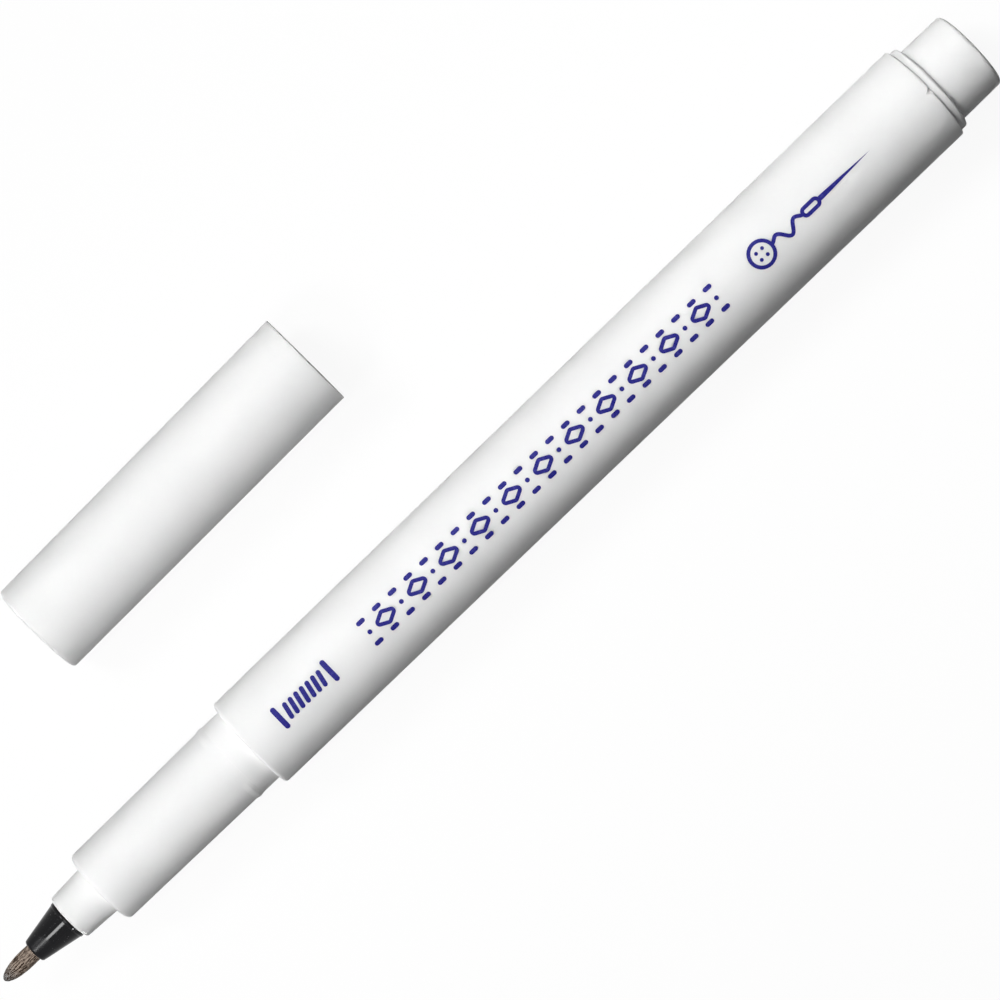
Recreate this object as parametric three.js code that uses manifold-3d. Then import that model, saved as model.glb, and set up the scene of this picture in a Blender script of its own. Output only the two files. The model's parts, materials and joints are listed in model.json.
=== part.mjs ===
// Fabric marker pen with its cap taken off and laid beside it, in millimetres, +Z up.
// The pen lies along X, nib towards -X. The origin is the bottom centre of the whole part's box.
import * as THREE from "three";
import { mergeVertices } from "three/addons/utils/BufferGeometryUtils.js";
import Module from "manifold-3d";

// Fineness of the round shapes
const SIDES = 48; // sides of each round shell, a flat one at the bottom
const INNER_SIDES = 24; // sides of the thin rods and the pieces inside
const ARC_STEPS = 3; // chords in each rounded edge
const POINT_STEPS = 8; // rings along the nib's point

// Clearances
const PRESS_GAP = 0.05; // between a pressed-in piece and its socket, on each side
const SEAT_GAP = 0.3; // between end faces that almost meet
const CAP_GAP = 0.04; // between the cap's snap rim and the nose it closes on, on each side
const SEAL_SQUEEZE = 0.03; // how far the liner's lip grips the collar, on each side

// Nib: bonded-fibre rod with a bullet point
const NIB_DIAMETER = 1.97;
const NIB_LENGTH = 36;
const NIB_REACH = 4.2; // length that stands out of the holder
const NIB_POINT_LENGTH = 3.05;
const NIB_REAR_CHAMFER = 0.3;
const NIB_IN_RESERVOIR = 8;

// Nib holder: black cone with a stem
const HOLDER_LENGTH = 4.93; // the cone that shows
const HOLDER_FRONT_DIAMETER = 2.65;
const HOLDER_BASE_DIAMETER = 4.54;
const HOLDER_FRONT_ROUND = 0.3;
const HOLDER_LIP_WIDTH = 0.32;
const HOLDER_LIP_HEIGHT = 0.07;
const HOLDER_NECK_WIDTH = 0.1; // between the lip and the collar
const HOLDER_STEM_DIAMETER = 4.0;
const HOLDER_STEM_LENGTH = 9.5;
const HOLDER_STEM_CHAMFER = 0.35;
const VENT_COUNT = 2; // air channels past the holder
const VENT_WIDTH = 0.6;
const VENT_DEPTH = 0.35;
const VENT_TURN = THREE.MathUtils.degToRad(54); // first channel, from the top towards -Y

// Front section: collar, nose, and a spigot inside the barrel
const COLLAR_LENGTH = 4.35;
const COLLAR_FRONT_DIAMETER = 5.36;
const COLLAR_REAR_DIAMETER = 5.76;
const COLLAR_ROUND = 0.4;
const NOSE_LENGTH = 21.17;
const NOSE_FRONT_DIAMETER = 8.69;
const NOSE_REAR_DIAMETER = 9.07;
const NOSE_ROUND = 0.55;
const NOSE_WALL = 1.6; // end wall behind the collar
const BEAD_SETBACK = 2.8; // from the barrel's front to the snap bead's crest
const BEAD_WIDTH = 1.25;
const BEAD_HEIGHT = 0.085;
const SPIGOT_LENGTH = 8.5;
const SPIGOT_CHAMFER = 0.4;
const STOP_STEP = 0.4; // step that stops the reservoir inside the nose

// Barrel
const BARREL_LENGTH = 95.36;
const BARREL_FRONT_DIAMETER = 10.85;
const BARREL_REAR_DIAMETER = 11.4;
const BARREL_FRONT_ROUND = 0.4;
const BARREL_REAR_ROUND = 0.35;
const BARREL_BORE = 9.2;
const RIB_COUNT = 6;
const RIB_WIDTH = 0.7;
const RIB_ROOT = 0.3; // depth of a rib's foot in the barrel wall
const GATE_NOTCH_LENGTH = 0.75; // conical mark of the mould's gate, in the rear rim
const GATE_NOTCH_WIDTH = 0.8;
const GATE_NOTCH_SIDES = 8;
const GATE_NOTCH_TURN = THREE.MathUtils.degToRad(2); // from the top towards -Y

// Ink reservoir and its film
const RESERVOIR_DIAMETER = 6.6;
const FILM_THICKNESS = 0.12;

// End plug
const FLANGE_DIAMETER = 10.65;
const FLANGE_LENGTH = 0.92;
const FLANGE_ROUND = 0.4;
const BOSS_LENGTH = 5.52;
const BOSS_ROOT_DIAMETER = 9.34;
const BOSS_END_DIAMETER = 9.22;
const BOSS_ROUND = 0.45;
const BOSS_WALL = 1.1; // closed end
const PLUG_SPIGOT_LENGTH = 14;
const PLUG_SPIGOT_CHAMFER = 0.4;
const PLUG_SOCKET_DEPTH = 2.2; // how far the reservoir sits in the plug
const PLUG_CORE_DIAMETER = 5.8;

// Cap shell and its liner
const CAP_LENGTH = 38.8;
const CAP_END_DIAMETER = 10.7;
const CAP_MOUTH_DIAMETER = 11.05;
const CAP_END_ROUND = 0.35;
const CAP_END_WALL = 1.5;
const CAP_BORE = 9.4;
const CAP_RIM_WIDTH = 0.7; // snap rim inside the mouth
const CAP_MOUTH_CHAMFER = 0.2;
const LINER_BASE = 1.2; // end disc pressed into the cap
const LINER_WALL = 0.7;
const LINER_BORE = 5.95;
const LINER_LIP_WIDTH = 0.8;
const LINER_END_GAP = 0.4; // between the liner's lip and the nose when the cap is on

// Where the cap lies: its closed end's centre from the nib's tip and from the pen's axis
const CAP_ALONG = 27.13;
const CAP_ASIDE = 23.35;
const CAP_SKEW = THREE.MathUtils.degToRad(1.3);

// Stations along the pen, from the nib's tip
const holderFront = NIB_REACH;
const collarFront = holderFront + HOLDER_LENGTH;
const noseFront = collarFront + COLLAR_LENGTH;
const barrelFront = noseFront + NOSE_LENGTH;
const barrelRear = barrelFront + BARREL_LENGTH;
const bossFront = barrelRear + FLANGE_LENGTH;
const penRear = bossFront + BOSS_LENGTH;
const spigotRear = barrelFront + SPIGOT_LENGTH;
const plugFront = barrelRear - PLUG_SPIGOT_LENGTH;
const reservoirFront = NIB_LENGTH - NIB_IN_RESERVOIR;
const reservoirRear = plugFront + PLUG_SOCKET_DEPTH - SEAT_GAP;

// Stations along the cap, from its closed end, with the cap closed on the pen
const nibTipInCap = CAP_LENGTH - barrelFront;
const linerFront = CAP_END_WALL;
const linerRear = nibTipInCap + noseFront - LINER_END_GAP;

// Radii that more than one piece takes
const holderBore = NIB_DIAMETER / 2 + PRESS_GAP;
const collarBore = HOLDER_STEM_DIAMETER / 2 + PRESS_GAP;
const coreRadius = RESERVOIR_DIAMETER / 2;
const filmRadius = coreRadius + PRESS_GAP + FILM_THICKNESS;
const reservoirSocket = filmRadius + PRESS_GAP * 2;
const barrelBore = BARREL_BORE / 2;
const spigotRadius = barrelBore - PRESS_GAP;

const wasm = await Module();
wasm.setup();

const whitePlastic = new THREE.MeshStandardMaterial({ color: 0xf2f2f0, roughness: 0.35 });
const blackPlastic = new THREE.MeshStandardMaterial({ color: 0x17171a, roughness: 0.2 });
const nibFibre = new THREE.MeshStandardMaterial({ color: 0x7d6c5d, roughness: 0.9 });
const reservoirFibre = new THREE.MeshStandardMaterial({ color: 0xd5dcea, roughness: 0.95 });
const filmPlastic = new THREE.MeshStandardMaterial({ color: 0xdfe6ee, roughness: 0.25 });

// A corner of an outline: its station along the axis, its radius, and how far its edge is rounded.
function corner(along, radius, round = 0) {
  return { at: new THREE.Vector2(radius, along), round };
}

// The points that replace a corner: the corner itself, or an arc that touches both of its edges.
function cornerPoints({ at, round }, before, after) {
  if (round === 0) return [at];
  const toBefore = before.at.clone().sub(at).normalize();
  const toAfter = after.at.clone().sub(at).normalize();
  const half = toBefore.angleTo(toAfter) / 2;
  const middle = toBefore.clone().add(toAfter).setLength(round / Math.sin(half)).add(at);
  const start = toBefore.clone().multiplyScalar(round / Math.tan(half)).add(at);
  const turn = Math.sign(toBefore.cross(toAfter)) * (Math.PI - 2 * half);
  return Array.from({ length: ARC_STEPS + 1 }, (_, step) =>
    start.clone().rotateAround(middle, (-turn * step) / ARC_STEPS),
  );
}

// The outline of a list of corners, closed on itself where it is a ring.
function outline(corners, isRing) {
  const last = corners.length - 1;
  const points = corners.flatMap((each, i) =>
    cornerPoints(each, corners[i === 0 ? last : i - 1], corners[i === last ? 0 : i + 1]),
  );
  return isRing ? [...points, points[0].clone()] : points;
}

// A round solid along X, turned from an outline, with a flat side at the bottom.
function turned(points, sides) {
  const geometry = new THREE.LatheGeometry(points, sides, Math.PI / sides);
  geometry.rotateZ(-Math.PI / 2);
  geometry.deleteAttribute("uv");
  geometry.deleteAttribute("normal");
  return mergeVertices(geometry);
}

// A tube: outer corners from front to rear, then inner corners from rear to front.
function tube(outer, inner, sides = SIDES) {
  return turned(outline([...outer, ...inner], true), sides);
}

// A solid with no bore right through: it starts and ends on the axis.
function rod(corners, sides = SIDES) {
  return turned(outline(corners, false), sides);
}

// A bar from one station to another, standing out from the axis at a turn from the top towards -Y.
function radialBar(front, rear, low, high, width, turn) {
  const bar = new THREE.BoxGeometry(rear - front, width, high - low);
  bar.translate((front + rear) / 2, 0, (low + high) / 2);
  bar.rotateX(turn);
  bar.deleteAttribute("uv");
  bar.deleteAttribute("normal");
  return mergeVertices(bar);
}

// A cone that points to -X. It has the given width at a station and runs on as far again behind it.
// Its axis lies at a distance from the part's axis, at a turn from the top towards -Y.
function coneTo(station, distance, length, width, turn) {
  const cone = new THREE.ConeGeometry(width, 2 * length, GATE_NOTCH_SIDES);
  cone.rotateZ(Math.PI / 2);
  cone.translate(station, 0, distance);
  cone.rotateX(turn);
  cone.deleteAttribute("uv");
  cone.deleteAttribute("normal");
  return mergeVertices(cone);
}

function solidOf(geometry) {
  const vertProperties = new Float32Array(geometry.attributes.position.array);
  const triVerts = new Uint32Array(geometry.index.array);
  return new wasm.Manifold(new wasm.Mesh({ numProp: 3, vertProperties, triVerts }));
}

function geometryOf(solid) {
  const { vertProperties, triVerts } = solid.getMesh();
  const geometry = new THREE.BufferGeometry();
  geometry.setAttribute("position", new THREE.BufferAttribute(vertProperties, 3));
  geometry.setIndex(new THREE.BufferAttribute(triVerts, 1));
  return geometry;
}

// The turns of a number of like features, evenly round the axis.
function turnsRound(count, first = 0) {
  return Array.from({ length: count }, (_, i) => first + (i * 2 * Math.PI) / count);
}

function part(name, geometry, material) {
  const flat = geometry.toNonIndexed();
  flat.computeVertexNormals();
  const mesh = new THREE.Mesh(flat, material);
  mesh.name = name;
  return mesh;
}

function makeNib() {
  const radius = NIB_DIAMETER / 2;
  const point = Array.from({ length: POINT_STEPS }, (_, step) => {
    const angle = ((step + 1) / POINT_STEPS) * (Math.PI / 2);
    return corner(NIB_POINT_LENGTH * (1 - Math.cos(angle)), radius * Math.sin(angle));
  });
  const corners = [
    corner(0, 0),
    ...point,
    corner(NIB_LENGTH - NIB_REAR_CHAMFER, radius),
    corner(NIB_LENGTH, radius - NIB_REAR_CHAMFER),
    corner(NIB_LENGTH, 0),
  ];
  return part("nib", rod(corners, INNER_SIDES), nibFibre);
}

function makeNibHolder() {
  const stem = HOLDER_STEM_DIAMETER / 2;
  const base = HOLDER_BASE_DIAMETER / 2;
  const lipRear = collarFront - HOLDER_NECK_WIDTH;
  const lipFront = lipRear - HOLDER_LIP_WIDTH;
  const stemRear = collarFront + HOLDER_STEM_LENGTH;
  const body = tube(
    [
      corner(holderFront, HOLDER_FRONT_DIAMETER / 2, HOLDER_FRONT_ROUND),
      corner(lipFront, base - HOLDER_LIP_HEIGHT),
      corner(lipFront + HOLDER_LIP_WIDTH / 4, base),
      corner(lipRear - HOLDER_LIP_WIDTH / 4, base),
      corner(lipRear, base - HOLDER_LIP_HEIGHT),
      corner(collarFront, base - HOLDER_LIP_HEIGHT),
      corner(collarFront, stem),
      corner(stemRear - HOLDER_STEM_CHAMFER, stem),
      corner(stemRear, stem - HOLDER_STEM_CHAMFER),
    ],
    [corner(stemRear, holderBore), corner(holderFront, holderBore)],
  );
  const grooves = turnsRound(VENT_COUNT, VENT_TURN).map((turn) =>
    solidOf(
      radialBar(
        collarFront + VENT_DEPTH,
        stemRear + SEAT_GAP,
        stem - VENT_DEPTH,
        stem + VENT_DEPTH,
        VENT_WIDTH,
        turn,
      ),
    ),
  );
  const vented = grooves.reduce((solid, groove) => solid.subtract(groove), solidOf(body));
  return part("nib_holder", geometryOf(vented), blackPlastic);
}

function makeFrontSection() {
  const collarFrontRadius = COLLAR_FRONT_DIAMETER / 2;
  const collarRear = COLLAR_REAR_DIAMETER / 2;
  const noseRear = NOSE_REAR_DIAMETER / 2;
  const beadCrest = barrelFront - BEAD_SETBACK;
  const noseAt = (station) =>
    THREE.MathUtils.mapLinear(station, noseFront, barrelFront, NOSE_FRONT_DIAMETER / 2, noseRear);
  const body = tube(
    [
      corner(collarFront, collarFrontRadius, COLLAR_ROUND),
      corner(noseFront, collarRear),
      corner(noseFront, NOSE_FRONT_DIAMETER / 2, NOSE_ROUND),
      corner(beadCrest - BEAD_WIDTH / 2, noseAt(beadCrest - BEAD_WIDTH / 2)),
      corner(beadCrest - BEAD_WIDTH / 6, noseAt(beadCrest) + BEAD_HEIGHT),
      corner(beadCrest + BEAD_WIDTH / 6, noseAt(beadCrest) + BEAD_HEIGHT),
      corner(beadCrest + BEAD_WIDTH / 2, noseRear),
      corner(barrelFront, noseRear),
      corner(barrelFront, spigotRadius),
      corner(spigotRear - SPIGOT_CHAMFER, spigotRadius),
      corner(spigotRear, spigotRadius - SPIGOT_CHAMFER),
    ],
    [
      corner(spigotRear, reservoirSocket),
      corner(reservoirFront - SEAT_GAP, reservoirSocket),
      corner(reservoirFront - SEAT_GAP, reservoirSocket - STOP_STEP),
      corner(noseFront + NOSE_WALL, reservoirSocket - STOP_STEP),
      corner(noseFront + NOSE_WALL, collarBore),
      corner(collarFront, collarBore),
    ],
  );
  const notches = turnsRound(VENT_COUNT, VENT_TURN).map((turn) =>
    solidOf(
      radialBar(
        collarFront - VENT_DEPTH,
        collarFront + VENT_DEPTH,
        collarBore / 2,
        collarFrontRadius + VENT_DEPTH,
        VENT_WIDTH,
        turn,
      ),
    ),
  );
  const notched = notches.reduce((solid, notch) => solid.subtract(notch), solidOf(body));
  return part("front_section", geometryOf(notched), whitePlastic);
}

function makeBarrel() {
  const shell = tube(
    [
      corner(barrelFront, BARREL_FRONT_DIAMETER / 2, BARREL_FRONT_ROUND),
      corner(barrelRear, BARREL_REAR_DIAMETER / 2, BARREL_REAR_ROUND),
    ],
    [corner(barrelRear, barrelBore), corner(barrelFront, barrelBore)],
  );
  const ribs = turnsRound(RIB_COUNT).map((turn) =>
    solidOf(
      radialBar(
        spigotRear,
        plugFront - SEAT_GAP,
        reservoirSocket,
        barrelBore + RIB_ROOT,
        RIB_WIDTH,
        turn,
      ),
    ),
  );
  const ribbed = ribs.reduce((solid, rib) => solid.add(rib), solidOf(shell));
  const rimRadius = BARREL_REAR_DIAMETER / 2;
  const gateNotch = solidOf(
    coneTo(barrelRear, rimRadius, GATE_NOTCH_LENGTH, GATE_NOTCH_WIDTH, GATE_NOTCH_TURN),
  );
  return part("barrel", geometryOf(ribbed.subtract(gateNotch)), whitePlastic);
}

function makeReservoir() {
  const nibHole = NIB_DIAMETER / 2 + PRESS_GAP;
  const corners = [
    corner(NIB_LENGTH + SEAT_GAP, 0),
    corner(NIB_LENGTH + SEAT_GAP, nibHole),
    corner(reservoirFront, nibHole),
    corner(reservoirFront, coreRadius),
    corner(reservoirRear, coreRadius),
    corner(reservoirRear, 0),
  ];
  return part("ink_reservoir", rod(corners, INNER_SIDES), reservoirFibre);
}

function makeFilm() {
  const film = tube(
    [corner(reservoirFront, filmRadius), corner(reservoirRear, filmRadius)],
    [
      corner(reservoirRear, filmRadius - FILM_THICKNESS),
      corner(reservoirFront, filmRadius - FILM_THICKNESS),
    ],
    INNER_SIDES,
  );
  return part("reservoir_film", film, filmPlastic);
}

function makeEndPlug() {
  const socketRear = plugFront + PLUG_SOCKET_DEPTH;
  const corners = [
    corner(penRear - BOSS_WALL, 0),
    corner(penRear - BOSS_WALL, PLUG_CORE_DIAMETER / 2),
    corner(socketRear, PLUG_CORE_DIAMETER / 2),
    corner(socketRear, reservoirSocket),
    corner(plugFront, reservoirSocket),
    corner(plugFront, spigotRadius - PLUG_SPIGOT_CHAMFER),
    corner(plugFront + PLUG_SPIGOT_CHAMFER, spigotRadius),
    corner(barrelRear, spigotRadius),
    corner(barrelRear, FLANGE_DIAMETER / 2),
    corner(bossFront, FLANGE_DIAMETER / 2, FLANGE_ROUND),
    corner(bossFront, BOSS_ROOT_DIAMETER / 2),
    corner(penRear, BOSS_END_DIAMETER / 2, BOSS_ROUND),
    corner(penRear, 0),
  ];
  return part("end_plug", rod(corners), whitePlastic);
}

function makeCapShell() {
  const bore = CAP_BORE / 2;
  const rim = NOSE_REAR_DIAMETER / 2 + CAP_GAP;
  const rimFront = CAP_LENGTH - BEAD_SETBACK + BEAD_WIDTH / 2;
  const rimRear = rimFront + CAP_RIM_WIDTH;
  const corners = [
    corner(CAP_END_WALL, 0),
    corner(CAP_END_WALL, bore),
    corner(rimFront, bore),
    corner(rimFront + CAP_RIM_WIDTH / 3, rim),
    corner(rimRear - CAP_RIM_WIDTH / 3, rim),
    corner(rimRear, bore),
    corner(CAP_LENGTH - CAP_MOUTH_CHAMFER, bore),
    corner(CAP_LENGTH, bore + CAP_MOUTH_CHAMFER),
    corner(CAP_LENGTH, CAP_MOUTH_DIAMETER / 2),
    corner(0, CAP_END_DIAMETER / 2, CAP_END_ROUND),
    corner(0, 0),
  ];
  return part("cap_shell", rod(corners.reverse()), whitePlastic);
}

function makeCapLiner() {
  const bore = LINER_BORE / 2;
  const lip = COLLAR_REAR_DIAMETER / 2 - SEAL_SQUEEZE;
  const disc = CAP_BORE / 2 - PRESS_GAP;
  const corners = [
    corner(linerFront + PRESS_GAP, 0),
    corner(linerFront + PRESS_GAP, disc),
    corner(linerFront + LINER_BASE, disc),
    corner(linerFront + LINER_BASE, bore + LINER_WALL),
    corner(linerRear, bore + LINER_WALL),
    corner(linerRear, bore),
    corner(linerRear - LINER_LIP_WIDTH / 2, lip),
    corner(linerRear - LINER_LIP_WIDTH, bore),
    corner(linerFront + LINER_BASE, bore),
    corner(linerFront + LINER_BASE, 0),
  ];
  return part("cap_liner", rod(corners), whitePlastic);
}

// The height at which a round body's axis runs when its flat bottom side lies on the ground.
function axisHeight(diameter) {
  return (diameter / 2) * Math.cos(Math.PI / SIDES);
}

const pen = new THREE.Group();
pen.add(makeBarrel(), makeFrontSection(), makeNibHolder(), makeNib());
pen.add(makeReservoir(), makeFilm(), makeEndPlug());
pen.position.set(0, 0, axisHeight(BARREL_REAR_DIAMETER));

const cap = new THREE.Group();
cap.add(makeCapShell(), makeCapLiner());
cap.position.set(CAP_ALONG, CAP_ASIDE, axisHeight(CAP_MOUTH_DIAMETER));
cap.rotation.z = CAP_SKEW;

const marker = new THREE.Group();
marker.add(pen, cap);

// The bottom centre of the box round both goes to the origin.
const box = new THREE.Box3().setFromObject(marker, true);
const middle = box.getCenter(new THREE.Vector3());
for (const body of [pen, cap]) {
  body.position.x -= middle.x;
  body.position.y -= middle.y;
}

export default marker;
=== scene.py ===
"""Fabric marker pen with its cap off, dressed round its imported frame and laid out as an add-on."""

import json
import math

import bmesh
import bpy
from bpy.props import FloatProperty, FloatVectorProperty, IntProperty, PointerProperty
from bpy.types import Operator, Panel, PropertyGroup
from mathutils import Matrix, Vector, noise


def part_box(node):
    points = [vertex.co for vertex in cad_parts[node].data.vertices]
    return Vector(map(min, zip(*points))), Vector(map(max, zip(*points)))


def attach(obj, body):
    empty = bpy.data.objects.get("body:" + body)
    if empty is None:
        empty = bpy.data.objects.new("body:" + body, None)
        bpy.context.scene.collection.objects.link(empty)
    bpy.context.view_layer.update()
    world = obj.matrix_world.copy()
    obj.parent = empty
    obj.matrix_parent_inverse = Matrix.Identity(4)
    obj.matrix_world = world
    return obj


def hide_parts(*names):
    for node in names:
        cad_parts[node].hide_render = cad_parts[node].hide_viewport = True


bl_info = {
    "name": "Fabric marker pen",
    "version": (1, 0, 0),
    "blender": (4, 5, 0),
    "location": "View3D > Sidebar > Marker pen",
    "description": "Builds the visible pieces of a fabric marker pen round its frame",
    "category": "Add Mesh",
}

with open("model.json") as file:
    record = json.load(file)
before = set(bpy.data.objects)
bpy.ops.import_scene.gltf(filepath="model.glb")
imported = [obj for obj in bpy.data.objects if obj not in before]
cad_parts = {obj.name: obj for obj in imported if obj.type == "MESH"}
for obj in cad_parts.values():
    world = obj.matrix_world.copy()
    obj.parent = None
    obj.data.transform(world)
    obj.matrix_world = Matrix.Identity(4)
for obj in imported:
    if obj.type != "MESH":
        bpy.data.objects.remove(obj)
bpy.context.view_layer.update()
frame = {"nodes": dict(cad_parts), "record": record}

MM = 0.001
SHELL_SIDES = 48  # sides of the CAD's round shells
NIB_SIDES = 24
FLAT_SIDE = math.cos(math.pi / SHELL_SIDES)  # a round CAD shell's height over its true diameter

# Fineness of the meshes
SEGMENTS = 256
SMALL_SEGMENTS = 160
NIB_SEGMENTS = 360
CONE_SEGMENTS = 40
ARC_STEPS = 8
POINT_STEPS = 64  # rings of the nib's bullet point
SHANK_STEPS = 32  # rings of the nib's shank as far as it keeps its grooves
FLOOR_SQUARES = 8  # along each side of the floor
PRINT_STEP = 0.3 * MM  # longest straight stretch of a printed line that bends round the barrel
END_STEPS = 5  # steps in the round end of a printed line
END_START = 0.1  # part of a step at which a round end starts, so that its tip has a width
THINNEST = 0.02  # width of a tapered line's tip, as a share of its full width
HOLD = 0.12 * MM  # distance from a rounded edge to the loop that holds its shading
SHARP_ANGLE = math.radians(35)

# Edges that look alike on several pieces
EASED = 0.05 * MM  # an edge that looks sharp
SOFT = 0.2 * MM  # a moulded edge inside the cap, and the nib's hidden end
LEAD_IN = 0.3 * MM  # an end that is pushed into another piece
SLOT_ROUND = 0.95  # a slot's corners, as a share of its half height

# Numbers for the shader nodes
MIX_A, MIX_B, MIX_RESULT = 6, 7, 2  # a Mix node's sockets for colours
NOISE_LOW, NOISE_HIGH = 0.3, 0.7  # most of a noise lies between these


def number(name, description, default, **limits):
    """A plain number that a user may change."""
    return FloatProperty(name=name, description=description, default=default, **limits)


def length(name, description, millimetres):
    """A size in metres that a user may change."""
    return number(name, description, millimetres * MM, min=0.0, precision=5, unit="LENGTH")


def angle(name, description, degrees):
    """An angle that a user may change."""
    return number(name, description, math.radians(degrees), unit="ROTATION")


def power(name, description, watts):
    """A lamp's power that a user may change."""
    return number(name, description, watts, min=0.0, precision=3, unit="POWER")


def share(name, description, default):
    """A share of a whole that a user may change."""
    return number(name, description, default, min=0.0, max=1.0)


def place_property(name, description, millimetres):
    """A place from the middle of the view, on the pen's axis."""
    return FloatVectorProperty(
        name=name,
        description=description,
        default=[MM * each for each in millimetres],
        size=3,
        precision=4,
        unit="LENGTH",
    )


def colour(name, description, default):
    """A linear colour that a user may change."""
    return FloatVectorProperty(
        name=name, description=description, default=default, size=3, subtype="COLOR", min=0, max=1
    )


# Places that the frame gives


def mount(name):
    """Point and outward direction of one of the frame's flat faces."""
    found = next(m for m in frame["record"]["mounts"] if m["name"] == name)
    return Vector(found["pos_m"]), Vector(found["axis"])


def span(node):
    """Stations of a node's front and rear end along X."""
    low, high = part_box(node)
    return low.x, high.x


def widest(node, sides=SHELL_SIDES):
    """True radius of a round node's widest part."""
    low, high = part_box(node)
    return (high.z - low.z) / 2 / math.cos(math.pi / sides)


def pen_place():
    """Puts a piece that is turned about X, in the frame's own stations, on the pen's axis."""
    tail, _ = mount("tail_end_face")
    return Matrix.Translation((0, tail.y, tail.z))


def cap_place():
    """Puts a piece that is turned about X, from its closed end, on the cap's axis."""
    end, outward = mount("cap_end_face")
    skew = math.atan2(-outward.y, -outward.x)
    return Matrix.Translation(end) @ Matrix.Rotation(skew, 4, "Z")


def cap_length(mouth_radius):
    """Length of the cap along its own skewed axis."""
    end, outward = mount("cap_end_face")
    _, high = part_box("cap_shell")
    return (high.x - end.x - mouth_radius * FLAT_SIDE * abs(outward.y)) / abs(outward.x)


# Sizes and colours that a user would change


class BodySizes(PropertyGroup):
    """Sizes of the barrel, the front section and the end plug."""

    barrel_front: length("Barrel front", "Diameter of the barrel at its front rim", 10.85)
    barrel_bore: length("Barrel bore", "Diameter inside the barrel", 9.2)
    barrel_front_round: length("Front rim", "Rounding of the barrel's front rim", 0.4)
    barrel_rear_round: length("Rear rim", "Rounding of the barrel's rear rim", 0.2)
    rib_count: IntProperty(name="Ribs", description="Ribs inside the barrel", default=6, min=0)
    rib_width: length("Rib width", "Width of a rib inside the barrel", 0.7)
    reservoir_socket: length("Reservoir socket", "Diameter of the space for the reservoir", 7.14)
    reservoir_stop: length("Reservoir stop", "Width of the step that stops the reservoir", 0.4)
    collar_front: length("Collar front", "Diameter of the collar at its front", 5.36)
    collar_rear: length("Collar rear", "Diameter of the collar at its rear", 5.76)
    collar_length: length("Collar length", "Length of the collar", 4.35)
    collar_round: length("Collar edge", "Rounding of the collar's front edge", 0.4)
    collar_bore: length("Collar bore", "Diameter inside the collar", 4.1)
    nose_front: length("Nose front", "Diameter of the nose at its front", 8.69)
    nose_rear: length("Nose rear", "Diameter of the nose at the barrel", 9.07)
    nose_round: length("Nose edge", "Rounding of the nose's front edge", 0.55)
    nose_wall: length("Nose wall", "Thickness of the wall behind the collar", 1.6)
    bead_setback: length("Bead setback", "From the barrel's front to the snap bead's crest", 2.8)
    bead_width: length("Bead width", "Width of the snap bead", 1.05)
    bead_height: length("Bead height", "Height of the snap bead", 0.12)
    bead_full: share("Bead full", "Height to which the bead is full, as a share of the radius", 0.68)
    bead_gone: share("Bead gone", "Height at which the bead is gone, as a share of the radius", 0.84)
    vent_width: length("Vent width", "Width of an air notch in the collar's rim", 0.6)
    vent_depth: length("Vent depth", "Depth of an air notch in the collar's rim", 0.35)
    vent_turn: angle("Vent turn", "First air notch, from the top towards -Y", 54)
    gate_length: length("Gate mark length", "Length of the gate's mark in the rear rim", 0.75)
    gate_width: length("Gate mark width", "Width of the gate's mark in the rear rim", 0.8)
    gate_turn: angle("Gate mark turn", "Place of the gate's mark, from the top towards -Y", 2)
    flange_length: length("Flange length", "Thickness of the end plug's flange", 0.92)
    flange_round: length("Flange edge", "Rounding of the flange's rear edge", 0.3)
    flange_fillet: length("Flange fillet", "Fillet between the flange and the boss", 0.12)
    boss_root: length("Boss root", "Diameter of the end plug's boss at the flange", 9.34)
    boss_end: length("Boss end", "Diameter of the end plug's boss at its end", 9.22)
    boss_round: length("Boss edge", "Rounding of the boss's end edge", 0.45)
    boss_wall: length("Boss wall", "Thickness of the boss's closed end", 1.1)
    plug_core: length("Plug hollow", "Diameter of the hollow in the end plug", 5.8)
    plug_socket: length("Plug socket", "How far the reservoir sits in the plug", 2.2)


class PointSizes(PropertyGroup):
    """Sizes of the nib and its holder."""

    nib_point: length("Nib point", "Length of the nib's bullet point", 3.05)
    fibre_depth: length("Fibre relief", "Depth of the grooves between the nib's fibres", 0.04)
    fibre_width: length("Fibre width", "Width of a strand of the nib", 0.1)
    fibre_run: length("Fibre run", "Length that a strand shows before it dips", 0.5)
    fibre_level: share("Fibre level", "Mean depth of the grooves, as a share of the full depth", 0.45)
    fibre_contrast: number("Fibre contrast", "How steeply strands turn into grooves", 1.3, min=0.0)
    smooth_tip: share("Smooth tip", "Part of the radius in which the grooves fade at the tip", 0.3)
    relief_inside: length("Relief inside", "How far the grooves run on inside the holder", 1.0)
    holder_front: length("Holder front", "Diameter of the holder's front face", 2.65)
    holder_base: length("Holder base", "Diameter of the holder's lip", 4.54)
    holder_round: length("Holder edge", "Rounding of the holder's front edge", 0.3)
    lip_width: length("Lip width", "Width of the raised lip at the holder's base", 0.32)
    lip_fillet: length("Lip fillet", "Fillet between the cone and the raised lip", 0.15)
    lip_round: length("Lip edge", "Rounding of the lip's front edge", 0.1)
    lip_height: length("Lip height", "Height of the raised lip at the holder's base", 0.07)
    neck_width: length("Neck width", "Width of the neck between the lip and the collar", 0.1)
    stem: length("Stem", "Diameter of the holder's stem in the collar", 4.0)


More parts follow.
